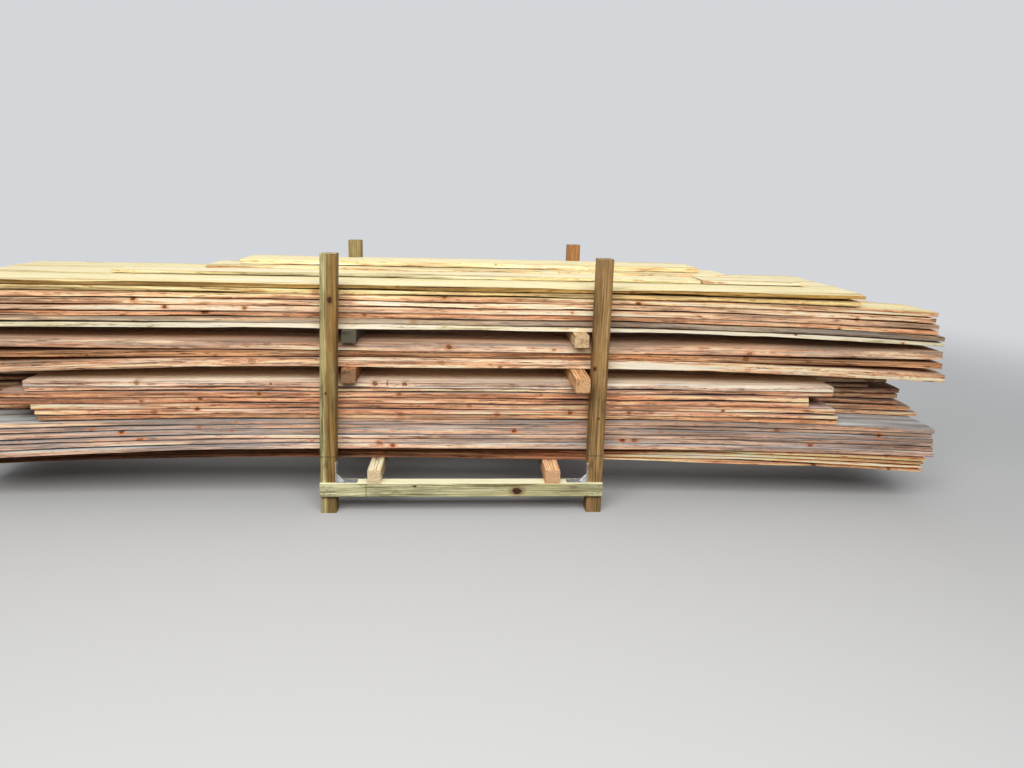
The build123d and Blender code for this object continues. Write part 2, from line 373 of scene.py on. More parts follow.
BOARD_RING, BOARD_END_RING = 0.006, 0.0045
BANDS = ((0.9, 30, 42), 2, 0.5, 0.4, 0.62)
LINES = ((2.2, 150, 150), 3, 0.6)
LINE_FADE = (0.5, 0.66)
FLECKS = ((11, 130, 130), 3, 0.65, 0.55, 0.64)
SAP = ((1.4, 75, 75), 3, 0.6, 0.52, 0.66)
SAP_COLOUR = (1.0, 0.84, 0.58, 1)
PATCHES = ((4.5, 26, 26), 4, 0.62, 0.56, 0.7)
CHIPS = ((16, 120, 120), 2, 0.6, 0.58, 0.66)
SHEEN = ((1.3, 14, 18), 3, 0.6, 0.32, 0.68)
STREAK_FADE = (0.34, 0.66)
WEATHER = ((1.6, 34, 34), 4, 0.65)
HEART_GRIT = ((260, 260, 260), 2, 0.5, 0.4, 0.6)
RIM_BREAKS = ((110, 110, 110), 1, 0.5, 0.38, 0.56)
SPECKS = ((150, 420, 420), 1, 0.5, 0.7, 0.78)
CHECKS = ((3, 260, 260), 2, 0.5, 0.33, 0.27)
BOARD_LIMIT = (0.93, 0.82, 0.62)


def clean_wood(g, place, palette, tint, strong, rings, lines, streak):
    """Freshly sawn wood: rings and bands, dark lines and flecks, pale sap, and a glow that varies."""
    early, late, stain = palette
    colour = g.over(early, late, 0.6, rings, strong)
    colour = g.over(colour, late, 0.6, g.marks(place, *BANDS), strong)
    colour = g.over(colour, stain, 0.8, g.step(lines, *LINE_FADE), strong)
    colour = g.over(colour, stain, 0.85, g.marks(place, *FLECKS), strong)
    colour = g.over(colour, g.mix(0.4, early, SAP_COLOUR), 0.58, g.marks(place, *SAP))
    colour = g.tinted(colour, tint)
    colour = g.over(colour, g.tinted(stain, tint), 0.55, g.marks(place, *PATCHES), strong)
    colour = g.over(colour, g.tinted(early, tint), 0.5, g.marks(place, *CHIPS))
    glow = g.times(g.spread(g.marks(place, *SHEEN), 0.64, 0.72),
                   g.spread(g.step(streak, *STREAK_FADE), 0.7, 0.6))
    swing = g.times(g.math("SUBTRACT", glow, 1.0), strong)
    return g.lit(colour, g.math("MAXIMUM", 0.2, g.spread(swing, 1.0, 1.3)))


def weathered(g, colour, age, weather, streak):
    """Silver grey where rain and sun have reached the wood."""
    worn = g.math("MULTIPLY", age, g.math("ADD", 0.15, g.step(weather, 0.38, 0.6)), clamp=True)
    silver = g.mix(g.step(streak, 0.38, 0.62), linear(196, 188, 180), linear(112, 98, 92))
    return g.mix(worn, colour, silver)


def knotted(g, colour, place, tint, far, force):
    """Knots: a swirled halo, a dark heart and a cracked rim. Also gives the rim."""
    swirl = g.step(g.math("FRACT", g.times(far, 2.1)), 0.1, 0.75)
    around = g.mix(swirl, linear(214, 140, 88), linear(150, 78, 42))
    colour = g.over(colour, g.tinted(around, tint), 0.75, g.step(far, 2.6, 0.8), force)
    heart = g.mix(g.marks(place, *HEART_GRIT), linear(74, 40, 24), linear(142, 80, 44))
    colour = g.over(colour, heart, 0.9, g.step(far, 0.9, 0.7), force)
    rim = g.times(g.step(far, 0.7, 0.86), g.step(far, 1.06, 0.92), force, g.marks(place, *RIM_BREAKS))
    return g.over(colour, linear(30, 17, 11), 0.9, rim), rim


def arris_shaded(g, colour, tint, edge, above, weather):
    """Painted shade along the arrises, in the gaps between the boards, with less of it on the faces that
    look up.
    """
    dirt_and_shade = g.math("MULTIPLY", edge, g.math("ADD", 0.45, g.step(weather, 0.3, 0.62)), clamp=True)
    dirt_and_shade = g.times(dirt_and_shade, g.math("SUBTRACT", 0.9, g.times(above, 0.45)))
    return g.mix(dirt_and_shade, colour, g.tinted(linear(62, 36, 22), tint))


def board_end(g, place, tone):
    """A board's sawn end: rings cut square, with grey patches."""
    y, z = g.split(place)[1:3]
    turn = g.math("FRACT", g.math("DIVIDE", g.vector("LENGTH", g.join(0.0, y, z)), BOARD_END_RING))
    sawn = g.mix(g.step(turn, 0.3, 0.9), linear(216, 178, 130), linear(162, 114, 72))
    sawn = g.mix(g.step(g.noise(place, 45, 2), 0.5, 0.72), sawn, linear(132, 98, 70))
    return g.tinted(sawn, tone)


def board_material(name, *palette):
    """Rough sawn softwood. The boards' own tone, place in the log, knots, weathering and the painted
    shade along their edges are attributes.
    """
    g = Graph(name)
    place, tone = g.attribute("grain"), g.attribute("tone", "Color")
    # How much painted shade each arris gets, how weathered the board is and how dark its knots are
    edge, age, force = g.split(g.attribute("shade_and_wear"))
    above = g.facing("Z")
    tint = g.mix(above, tone, g.attribute("crown", "Color"))
    strong = g.math("SUBTRACT", 1.0, g.times(above, 0.6))
    ragged = g.centred(g.stretched(place, (70, 180, 180), 2), 0.9)
    far = g.math("ADD", g.vector("LENGTH", g.attribute("knot")), ragged)
    rings, streak, fibre = wood_figure(g, place, far, BOARD_RING)
    lines, weather = g.stretched(place, *LINES), g.stretched(place, *WEATHER)
    checks = g.marks(place, *CHECKS)

    colour = clean_wood(g, place, palette, tint, strong, rings, lines, streak)
    colour = weathered(g, colour, age, weather, streak)
    colour, rim = knotted(g, colour, place, tint, far, force)
    colour = g.over(colour, linear(66, 44, 30), 0.4, g.marks(place, *SPECKS))
    colour = g.over(colour, linear(52, 32, 22), 0.65, checks)
    # Painted shade along the arrises, in the gaps between boards, less on the faces that look up
    colour = arris_shaded(g, colour, tint, edge, above, weather)
    colour = g.mix(g.facing("X"), colour, board_end(g, place, tone))
    colour = g.vector("MINIMUM", colour, BOARD_LIMIT)

    g.relief(0.75, 0.0022, (streak, 0.9), (fibre, 0.5), (lines, 0.8), (checks, -1.0), (rim, -0.6),
             (rings, 0.25))
    return g.finish(colour, g.math("ADD", 0.66, g.times(streak, 0.3), clamp=True), 0.2)


# Board meshes

FINE_STEP = 0.034
PLAIN_STEP = 0.11
BRANCH_FAR = 9.0
SAME_POINT = 2e4
FRONT_EDGE = 0.002
LIP = 0.03
CORNER = 0.004
END_CUT = 0.004
# Share of the cut's depth and height along a waney arris, from the flat to the face, and how much
# painted shade it gets
ARRIS = ((1.0, 0.0, 0.7), (0.62, 0.3, 1.0), (0.28, 0.66, 0.9), (0.04, 0.93, 0.5), (0.0, 1.0, 0.25))
PLAIN_ARRIS = ((1.0, 0.0, 0.6), (0.0, 1.0, 0.3))
PLAIN_CUT = (0.0006, 0.002)
LEAST_CUT = (0.003, 0.0007)
MOST_CUT = 0.42
SHARP = math.radians(32)


def seeded(name):
    """Random numbers of its own for each thing, the same on each run."""
    return np.random.default_rng(zlib.crc32(name.encode()))


def wander(rng, s, spacing, low, high):
    """A smooth random line along a board, between two values."""
    start, stop = float(s.min()), float(s.max())
    count = max(4, int((stop - start) / spacing) + 4)
    values = rng.uniform(low, high, count)
    where = np.clip((s - start) / spacing + rng.uniform(0, 1), 0, count - 1.001)
    k = where.astype(int)
    t = where - k
    t = t * t * (3 - 2 * t)
    return values[k] * (1 - t) + values[k + 1] * t


def corners_of(faces):
    """The numbers of the points that some faces use, in order."""
    return sorted({v for f in faces for v in f.vertices})


class Board:
    """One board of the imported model: its direction, its width and its sagging lines."""

    def __init__(self, points, faces):
        sides = [f for f in faces if abs(f.normal.z) < 0.3 and abs(f.normal.y) > 0.7]
        normal = max(sides, key=lambda f: f.area).normal
        across = np.array([normal.x, normal.y]) * (1 if normal.y > 0 else -1)
        self.across = across / np.linalg.norm(across)
        self.along = np.array([self.across[1], -self.across[0]])
        q = points[corners_of(faces)][:, :2] @ self.across
        self.front, self.back = q.min(), q.max()
        self.width = self.back - self.front
        self.low_line = self.line(points, [f for f in faces if f.normal.z < -0.5])
        self.high_line = self.line(points, [f for f in faces if f.normal.z > 0.5])
        self.start, self.stop = self.low_line[0, 0], self.low_line[-1, 0]
        self.length = self.stop - self.start

    def line(self, points, faces):
        """The places and heights along the front edge of the top or of the underside."""
        found = points[corners_of(faces)]
        found = found[found[:, :2] @ self.across < self.front + FRONT_EDGE]
        pairs = {round(float(p[:2] @ self.along), 4): float(p[2]) for p in found}
        return np.array(sorted(pairs.items()))

    def low(self, s):
        return np.interp(s, self.low_line[:, 0], self.low_line[:, 1])

    def high(self, s):
        return np.interp(s, self.high_line[:, 0], self.high_line[:, 1])


def boards_of(node):
    """The boards of a node, from the front to the back."""
    mesh = nodes[node].data
    points = np.array([v.co for v in mesh.vertices], float)
    keys = {}
    same = [keys.setdefault(tuple(np.round(p * SAME_POINT).astype(int)), len(keys)) for p in points]
    parent = list(range(len(keys)))

    def root(k):
        while parent[k] != k:
            parent[k] = parent[parent[k]]
            k = parent[k]
        return k

    for face in mesh.polygons:
        first = root(same[face.vertices[0]])
        for v in face.vertices[1:]:
            parent[root(same[v])] = first
    groups = {}
    for face in mesh.polygons:
        groups.setdefault(root(same[face.vertices[0]]), []).append(face)
    return sorted((Board(points, faces) for faces in groups.values()), key=lambda b: b.front)


def wane(rng, s, high, deep):
    """How deep and how high an arris is cut off at each place."""
    amount = np.clip(wander(rng, s, 0.5, -0.7, 1.0), 0, 1)
    amount = amount * (0.5 + 0.5 * wander(rng, s, 0.09, 0, 1))
    return LEAST_CUT[0] + deep * np.sqrt(amount), LEAST_CUT[1] + high * amount


def section(rng, board, s, look):
    """The points round a board at each place: across from its front, up, and how much painted shade it
    gets.
    """
    thick = board.high(s) - board.low(s)
    drop = wander(rng, s, 0.55, 0, look["drop"])
    rise = wander(rng, s, 0.55, 0, look["drop"])
    low, high = rise, thick - drop
    face = wander(rng, s, 0.9, -look["warp"], look["warp"]) + wander(rng, s, 0.15, -0.0008, 0.0008)
    face = face + rng.uniform(-look["warp"], 3 * look["warp"])
    lean = wander(rng, s, 0.8, -0.0012, 0.0012)
    back_face = board.width - np.abs(wander(rng, s, 0.7, 0, 0.0015))
    columns = []

    def add(across, up, dirt_and_shade):
        columns.append((across + 0 * s, up + 0 * s, dirt_and_shade + 0 * s))

    def arris(fine, base, sign, wall, inward, outward=False):
        """Adds one cut arris: base height, which way it rises, and the wall it runs to."""
        deep, tall = wane(rng, s, *((look["wane"], look["deep"]) if fine else PLAIN_CUT))
        tall = np.minimum(tall, thick * MOST_CUT)
        shares = ARRIS if fine else PLAIN_ARRIS
        row = [(wall + inward * deep * a, base + sign * tall * b, d) for a, b, d in shares]
        for item in (row[::-1] if outward else row):
            add(*item)
        return tall

    def between(count, first, last):
        """Adds plain points between two corners of a face."""
        for k in range(1, count + 1):
            t = k / (count + 1)
            rough = rng.normal(0, look["rough"], len(s)) if count > 1 else 0
            add(first[0] * (1 - t) + last[0] * t + rough * (first[2] == "side"),
                first[1] * (1 - t) + last[1] * t + rough * (first[2] == "flat"), 0.0)

    front_fine, back_fine = look["front"], look["back"]
    wall, upper_wall = face - lean, face + lean
    low_cut = arris(front_fine, low, 1, wall, 1)
    between(3 if front_fine else 1, (wall, low + low_cut, "side"), (upper_wall, high - CORNER, "side"))
    arris(front_fine, high, -1, upper_wall, 1, outward=True)
    between(look["top"], (upper_wall + LIP, high, "flat"), (back_face - LIP, high, "flat"))
    arris(back_fine, high, -1, back_face, -1)
    between(3 if back_fine else 1, (back_face, high - CORNER, "side"), (back_face, low + CORNER, "side"))
    arris(back_fine, low, 1, back_face, -1, outward=True)
    between(1, (back_face - LIP, low, "flat"), (wall + LIP, low, "flat"))
    return (np.stack(v, 1) for v in zip(*columns))


def more_knots(rng, board, look, placed, gap):
    """Adds knots at random, away from the ones that are there."""
    taken = [k[0] for k in placed]
    faces = look["knot_faces"]
    for _ in range(int(board.length * look["knot_rate"] + rng.uniform(0, 1))):
        x = rng.uniform(board.start + 0.1, board.stop - 0.1)
        share, radius = rng.uniform(0.1, 0.9), rng.uniform(0.005, 0.012) * rng.uniform(0.7, 1.3)
        face, force = faces[rng.integers(len(faces))], rng.uniform(0.25, 0.95) * look["force"]
        if all(abs(x - t) > gap for t in taken):
            placed.append((x, share, radius, force, face))
            taken.append(x)


def knot_field(rng, s, across, up, board, look):
    """For each point, its offset from the nearest knot, in knot radii, and how dark that knot is."""
    step = s[2] - s[1] if len(s) > 3 else 0.1
    placed = list(look["knots"])
    more_knots(rng, board, look, placed, 0.2 + 2 * step)
    field = np.full(across.shape + (3,), BRANCH_FAR)
    forces = np.zeros(across.shape)
    if not placed:
        return field, forces
    centres = np.array([k[0] for k in placed])
    nearest = np.abs(s[:, None] - centres[None]).argmin(1)
    thick = float(np.mean(board.high(s) - board.low(s)))
    for k, (x, share, radius, force, face) in enumerate(placed):
        mine = nearest == k
        rows = mine & (np.abs(s - x) < 3 * radius + step * 1.2)
        field[mine, :, 0] = (np.sign(s[mine] - x) * BRANCH_FAR)[:, None]
        forces[mine] = force
        if face == "top":
            centre, radii = (board.width * share, thick), (1.5 * radius, radius, 4 * radius)
        else:
            centre = (0.0 if face == "front" else board.width, thick * share)
            radii = (radius * 1.3, 3.5 * radius, radius * 0.9)
        field[rows, :, 0] = ((s[rows] - x) / radii[0])[:, None]
        field[rows, :, 1] = (across[rows] - centre[0]) / radii[1]
        field[rows, :, 2] = (up[rows] - centre[1]) / radii[2]
    return field, forces


def pinch_ends(board, across, up):
    """Draws the two end sections in a little, so that the sawn ends have a broken arris."""
    middle = (across.mean(1, keepdims=True), up.mean(1, keepdims=True))
    for k in (0, len(across) - 1):
        across[k] += (middle[0][k] - across[k]) * np.minimum(0.0024 / board.width, 0.02)
        up[k] += (middle[1][k] - up[k]) * 0.07


def along_places(rng, board, s, across, look):
    """Where each point lies along its board, with the ends sawn a little askew and chipped."""
    n, m = across.shape
    places = np.repeat(s[:, None], m, 1)
    share = across / board.width
    for side, k, beside, sign in (("start", 0, 1, 1), ("stop", n - 1, n - 2, -1)):
        front_in, back_in = look["ends"].get(side, (None, None))
        if front_in is None:
            slope = rng.uniform(-0.004, 0.004)
            front_in, back_in = max(slope, 0), max(-slope, 0)
        shift = front_in + (back_in - front_in) * share
        reach = max(front_in, back_in) * 1.6 + 0.03
        fade = np.clip(1 - np.abs(s - s[k]) / reach, 0, 1)[:, None]
        near = np.isin(np.arange(n), (k, beside))
        places += np.where(near[:, None], shift[k][None], shift * fade) * sign
    places[0] += np.abs(rng.normal(0, look["chip"], m))
    places[-1] -= np.abs(rng.normal(0, look["chip"], m))
    return places


def tube_faces(n, m):
    """The faces of a closed tube of n sections with m points each."""
    k = np.arange(n - 1)[:, None] * m
    j = np.arange(m)[None]
    around = (j + 1) % m
    quads = np.stack((k + j, k + around, k + m + around, k + m + j), -1).reshape(-1, 4)
    faces = [tuple(q) for q in quads[:, ::-1].tolist()]
    return faces + [tuple(range(m)), tuple(range((n - 1) * m, n * m))[::-1]]


def tone_of(rng, look, places):
    """The board's own tone on its fronts and on its top, for each point; the fronts also get the layer's
    painted light and shade along X.
    """
    rich = rng.uniform(0, 0.7)
    shade = np.array((1.05 - 0.1 * rich, 1.04 - 0.24 * rich, 1.02 - 0.36 * rich))
    shade = shade * rng.uniform(1 - look["spread"], 1 + look["spread"]) * rng.uniform(0.97, 1.03, 3)
    tones = np.repeat(np.append(np.array(look["tone"]) * shade, 1)[None], places.size, 0)
    # Painted light and shade: the fronts are painted lighter or darker along X
    tones[:, :3] *= np.interp(places.reshape(-1), *zip(*look["fade"]))[:, None]
    crown = np.append(np.array(look["crown"]) * (0.5 + 0.5 * shade), 1)
    return tones, np.repeat(crown[None], places.size, 0)


def board_arrays(name, board, look):
    """The points, faces and attributes of one board."""
    rng = seeded(name)
    s = np.linspace(board.start, board.stop, max(4, int(board.length / look["step"])))
    s = np.concatenate(([s[0]], [s[0] + END_CUT], s[1:-1], [s[-1] - END_CUT], [s[-1]]))
    across, up, dirt_and_shade = section(rng, board, s, look)
    pinch_ends(board, across, up)
    places = along_places(rng, board, s, across, look)
    low = board.low(np.clip(places, board.start, board.stop))
    x = board.along[0] * places + board.across[0] * (board.front + across)
    y = board.along[1] * places + board.across[1] * (board.front + across)
    heart = (rng.uniform(-0.4, 1.4) * board.width, rng.choice((-1, 1)) * rng.uniform(0.02, 0.12))
    grain = np.stack((places + rng.uniform(0, 60), across - heart[0], up - heart[1]), -1)
    knots, forces = knot_field(rng, s, across, up, board, look)
    tones, crowns = tone_of(rng, look, places)
    # Painted shade along the arrises, the weathering age and how dark the knots are, for each point
    shade_and_wear = np.stack((dirt_and_shade, dirt_and_shade * 0 + look["age"], forces), -1)
    points = np.stack((x, y, low + up), -1)
    flat = [a.reshape(-1, 3) for a in (points, grain, knots, shade_and_wear)]
    return (tube_faces(*across.shape), *flat, tones, crowns)


def make_piece(name, parts, material, stood_for):
    """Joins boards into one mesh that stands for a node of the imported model."""
    faces, points, grain, knots, shade_and_wear, tones, crowns = zip(*parts)
    joined, base = [], 0
    for p, f in zip(points, faces):
        joined.extend([tuple(v + base for v in face) for face in f])
        base += len(p)
    mesh = bpy.data.meshes.new(name)
    mesh.from_pydata(np.concatenate(points).tolist(), [], joined)
    for title, values in (("grain", grain), ("knot", knots), ("shade_and_wear", shade_and_wear)):
        layer = mesh.attributes.new(title, "FLOAT_VECTOR", "POINT")
        layer.data.foreach_set("vector", np.concatenate(values).astype(np.float32).ravel())
    for title, values in (("tone", tones), ("crown", crowns)):
        layer = mesh.attributes.new(title, "FLOAT_COLOR", "POINT")
        layer.data.foreach_set("color", np.concatenate(values).astype(np.float32).ravel())
    mesh.shade_smooth()
    mesh.set_sharp_from_angle(angle=SHARP)
    mesh.materials.append(material)
    piece = bpy.data.objects.new(name, mesh)
    bpy.context.scene.collection.objects.link(piece)
    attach(piece, "root")
    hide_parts(stood_for)


# What each layer looks like: the colour of its fronts and of its top, its age, and its ends

# The usual colour of each slot's palette, which the layers' own colours are set against
SLOT_MEAN = {
    "cream_board": (214, 184, 124),
    "pink_board": (210, 148, 110),
    "orange_board": (200, 124, 80),
    "grey_board": (176, 150, 130),
}
LAYER_COLOURS = {
    "upper_layer_1": (166, 128, 66),
    "upper_layer_2": (224, 194, 131),
    "upper_layer_3": (255, 196, 152),
    "upper_layer_4": (255, 200, 158),
    "upper_layer_5": (254, 198, 155),
    "upper_layer_6": (221, 154, 112),
    "upper_layer_7": (181, 156, 127),
    "upper_layer_8": (255, 244, 193),
    "middle_layer_1": (221, 168, 130),
    "middle_layer_2": (206, 140, 95),
    "middle_layer_3": (226, 173, 134),
    "lower_layer_1": (255, 215, 177),
    "lower": (242, 171, 125),
    "grey": (222, 185, 159),
    "bottom": (217, 143, 98),
    "top_board_front": (255, 238, 174),
    "top_board_short": (255, 214, 165),
    "top_board_lower": (255, 198, 138),
    "top_board_upper": (255, 224, 160),
}
CROWN_COLOURS = {
    "upper_layer_1": (255, 227, 158),
    "upper_layer_2": (247, 215, 148),
    "upper_layer_3": (254, 218, 156),
    "grey": (197, 204, 210),
    "lower": (196, 150, 124),
    "top_board_front": (255, 225, 156),
    "top_board_short": (255, 220, 162),
    "top_board_lower": (255, 213, 148),
    "top_board_upper": (255, 224, 153),
}
AGES = {"grey": 0.6, "upper_layer_7": 0.35, "middle_layer_1": 0.35, "lower": 0.08}
# Painted light and shade along X: how much lighter or darker a layer's faces, all but the tops, are
# painted at some places. The bottom layer is painted dark in the shadow under the pile and light at its
# lit right end, the grey layer lighter at its left and darker to the right, and the third middle layer
# light at its lit right end
PAINTED_LIGHT_ALONG_X = {
    "bottom": ((0.0, 0.45), (0.75, 0.7), (1.3, 3.1)),
    "grey": ((-2.2, 1.3), (-0.4, 1.08), (0.6, 0.96), (2.4, 0.84)),
    "middle_layer_3": ((-1.5, 0.95), (0.4, 1.08), (1.1, 1.85)),
}
EVEN = ((0.0, 1.0),)
# How far an end is sawn back at the board's front and at its back
ENDS = {("upper_layer_1", 0): {"stop": (0.026, 0.0)}, ("upper_layer_3", 0): {"stop": (0.0, 0.02)}}
NEAR_TOP = ("upper_layer_1", "upper_layer_2", "upper_layer_3")
KNOT_FACES = {"front": ("front",), "back": ("back",), "inside": ("top", "front")}
HELD = 0.002

# Knots that show on the front of the pile: X, Z, radius, how dark
FRONT_KNOTS = (
    (0.042, 0.838, 0.012, 0.9), (0.008, 0.757, 0.013, 0.5), (0.296, 0.737, 0.009, 0.8),
    (-0.323, 0.646, 0.013, 0.9), (-0.175, 0.646, 0.011, 0.9), (-0.204, 0.593, 0.01, 0.7),
    (0.144, 0.536, 0.012, 0.5), (-0.195, 0.49, 0.014, 0.5), (0.286, 0.492, 0.014, 0.6),
    (0.657, 0.502, 0.01, 1.0), (0.375, 0.405, 0.01, 1.0), (-0.236, 0.327, 0.011, 0.9),
    (-0.305, 0.339, 0.012, 0.6), (0.977, 1.067, 0.01, 1.0), (2.11, 1.003, 0.008, 1.0),
    (1.563, 0.733, 0.014, 0.35), (2.227, 0.713, 0.012, 0.4), (2.383, 0.707, 0.011, 0.4),
    (2.472, 0.708, 0.01, 0.4), (1.452, 0.518, 0.007, 0.9), (0.961, 0.504, 0.009, 0.8),
    (0.937, 0.354, 0.011, 1.0), (1.002, 0.354, 0.012, 0.7), (1.755, 0.411, 0.012, 0.6),
    (1.943, 0.329, 0.012, 0.8), (2.312, 0.386, 0.01, 1.0), (1.562, 0.82, 0.012, 0.6),
    (-1.449, 1.051, 0.01, 1.0), (-1.305, 1.015, 0.009, 1.0), (-1.464, 0.641, 0.013, 0.7),
    (-0.885, 0.591, 0.01, 0.9), (-1.168, 0.563, 0.009, 0.9), (-1.186, 0.512, 0.01, 1.0),
    (-1.556, 0.392, 0.01, 1.0), (-1.469, 0.351, 0.013, 0.7), (-1.391, 0.496, 0.013, 0.6),
    (-0.911, 0.752, 0.014, 0.35), (-1.084, 0.779, 0.01, 0.5), (-1.68, 0.773, 0.01, 0.7),
    (1.985, 0.217, 0.011, 1.0),
)


def ratio(wanted, mean):
    """What the slot's palette is multiplied by to give a wanted colour."""
    return tuple(a / b for a, b in zip(linear(*wanted)[:3], linear(*mean)[:3]))


def own_knots(board):
    """The measured knots that lie on one board's front face."""
    found = []
    for x, z, radius, force in FRONT_KNOTS:
        low, high = board.low(x), board.high(x)
        if board.start < x < board.stop and low - HELD < z < high + HELD:
            found.append((x, (z - low) / (high - low), radius, force, "front"))
    return found


def look_of(node, slot, index, count, board):
    """The settings for one board of a layer."""
    family = node if node in LAYER_COLOURS else node.split("_")[0]
    loose = node.startswith("top")
    front = index == 0 or loose or (index == 1 and node.startswith(("lower", "upper_layer_1")))
    back = index == count - 1 or loose
    seen = front or back
    knot_side = "inside" if loose or not seen else "front" if front else "back"
    wanted = LAYER_COLOURS[family]
    return {
        "front": front,
        "back": back,
        "step": FINE_STEP if seen else PLAIN_STEP,
        "top": 7 if loose or node in NEAR_TOP else 1,
        "drop": 0.0018,
        "warp": 0.003,
        "rough": 0.0004 if seen else 0.0,
        # The layer's painted light and shade along X
        "fade": PAINTED_LIGHT_ALONG_X.get(family, EVEN),
        "wane": 0.0055 if family == "grey" else 0.0085,
        "deep": 0.08,
        "chip": 0.004 if (node, index) in ENDS or node == "top_board_lower" else 0.0015,
        "ends": ENDS.get((node, index), {}),
        "knots": own_knots(board) if index == 0 and not loose else [],
        "knot_faces": KNOT_FACES[knot_side],
        "knot_rate": 0.55 if seen else 0.25,
        "force": 0.6 if family == "grey" else 1.0,
        "tone": ratio(wanted, SLOT_MEAN[slot]),
        "crown": ratio(CROWN_COLOURS.get(family, wanted), SLOT_MEAN[slot]),
        "spread": 0.07 if node in NEAR_TOP or loose else 0.13,
        "age": AGES.get(family, 0.0),
    }


# Early wood, late wood and stain of each of the boards' slots
BOARD_PALETTES = {
    "cream_board": (linear(240, 218, 162), linear(206, 168, 106), linear(150, 108, 62)),
    "pink_board": (linear(234, 178, 140), linear(200, 126, 86), linear(118, 70, 44)),
    "orange_board": (linear(230, 158, 110), linear(186, 104, 62), linear(96, 52, 32)),
    "grey_board": (linear(206, 176, 152), linear(164, 122, 96), linear(92, 66, 54)),
}


def make_boards():
    """Draws every layer and every loose board again as rough timber."""
    slots = {p["node"]: p["material_slot"] for p in frame["record"]["subparts"]}
    materials = {name: board_material(name, *palette) for name, palette in BOARD_PALETTES.items()}
    for node in sorted(nodes):
        slot = slots[node]
        if slot not in materials:
            continue
        found = boards_of(node)
        parts = []
        for index, board in enumerate(found):
            look = look_of(node, slot, index, len(found), board)
            parts.append(board_arrays(f"{node}.{index}", board, look))
        make_piece(node.replace("_layer_", "_boards_").replace("top_board", "loose_board"),
                   parts, materials[slot], node)


# The cradle, the spacers and their metal. Marks as for the boards

CRADLE_RING, CRADLE_END_RING = 0.0065, 0.0085
CRADLE_BANDS = ((1.1, 34, 34), 3, 0.5, 0.42, 0.6)
CRADLE_LINES = ((3.4, 100, 100), 3, 0.6)
SIDE_EDGE = ((3, 40, 40), 3)
SIDE_PATCHES = ((2, 26, 26), 3, 0.5, 0.45, 0.65)
SIDE_SOFT = 0.008
LEAN_FROM, LEAN = 0.27, 0.0294
BLOTCHES = ((11, 40, 40), 4, 0.65, 0.55, 0.68)
CRADLE_SHEEN = ((3.2, 16, 16), 4, 0.62, 0.3, 0.7)
CRADLE_SPECKS = ((160, 300, 300), 1, 0.5, 0.7, 0.78)
CRADLE_CHECKS = ((2.5, 260, 260), 2, 0.5, 0.33, 0.27)
CRADLE_LIMIT = (0.93, 0.9, 0.86)
AXIS_ORDER = {"X": (0, 1, 2), "Y": (1, 0, 2), "Z": (2, 0, 1)}


def knot_distance(g, coords, place, knots):
    """How far each point is from the nearest knot, in knot radii, with a ragged edge."""
    far = BRANCH_FAR
    for centre, radii in knots:
        near = g.vector("LENGTH", g.vector("DIVIDE", g.vector("SUBTRACT", coords, centre), radii))
        far = g.math("MINIMUM", far, near)
    return g.math("ADD", far, g.centred(g.stretched(place, (60, 160, 160), 2), 0.7))


def two_toned(g, colour, coords, place, side, dark):
    """Heartwood along one side of the leaning post, past an edge that follows the grain."""
    begins, other = side
    x, z = g.split(coords)[0], g.split(coords)[2]
    reach = g.math("ADD", x, g.times(g.stretched(place, *SIDE_EDGE), 0.012))
    shift = g.times(g.math("MAXIMUM", g.math("SUBTRACT", z, LEAN_FROM), 0.0), LEAN)
    past = g.step(g.math("SUBTRACT", reach, shift), begins, begins + SIDE_SOFT)
    return g.mix(past, colour, g.mix(g.marks(place, *SIDE_PATCHES), other, dark))


def cradle_wood(g, palette, coords, place, far, side, rings, lines, streak, checks):
    """The long faces: rings, bands, lines and blotches, knots, specks and checks."""
    light, dark, stain = palette
    colour = g.over(light, dark, 0.7, rings)
    colour = g.over(colour, dark, 0.7, g.marks(place, *CRADLE_BANDS))
    if side:
        colour = two_toned(g, colour, coords, place, side, dark)
    colour = g.over(colour, stain, 0.75, g.step(lines, *LINE_FADE))
    colour = g.over(colour, stain, 0.5, g.marks(place, *BLOTCHES))
    glow = g.times(g.spread(g.marks(place, *CRADLE_SHEEN), 0.72, 0.56),
                   g.spread(g.step(streak, *STREAK_FADE), 0.8, 0.4))
    colour = g.lit(colour, glow)
    colour = g.over(colour, linear(120, 78, 40), 0.6, g.step(far, 2.2, 0.9))
    whorl = g.step(g.math("FRACT", g.times(far, 4.2)), 0.2, 0.8)
    colour = g.mix(g.step(far, 0.98, 0.8), colour, g.mix(whorl, linear(34, 22, 14), linear(84, 52, 30)))
    colour = g.over(colour, linear(60, 46, 28), 0.45, g.marks(place, *CRADLE_SPECKS))
    return g.over(colour, linear(48, 34, 22), 0.65, checks)


def cradle_end(g, place, palette, level):
    """A sawn end: rings cut square, with grit and stains."""
    light, dark, stain = palette
    y, z = g.split(place)[1:3]
    wobble = g.times(g.noise(place, 30, 2), 0.006)
    turn = g.math("ADD", g.vector("LENGTH", g.join(0.0, y, z)), wobble)
    turn = g.math("FRACT", g.math("DIVIDE", turn, CRADLE_END_RING))
    sawn = g.mix(g.step(turn, 0.25, 0.85), g.mix(0.25, light, linear(240, 226, 188)), dark)
    sawn = g.over(sawn, stain, 0.5, g.step(g.noise(place, 120, 3, 0.7), 0.42, 0.62))
    sawn = g.over(sawn, stain, 0.6, g.step(g.noise(place, 34, 2), 0.52, 0.72))
    return g.tinted(sawn, (level, level, level, 1))


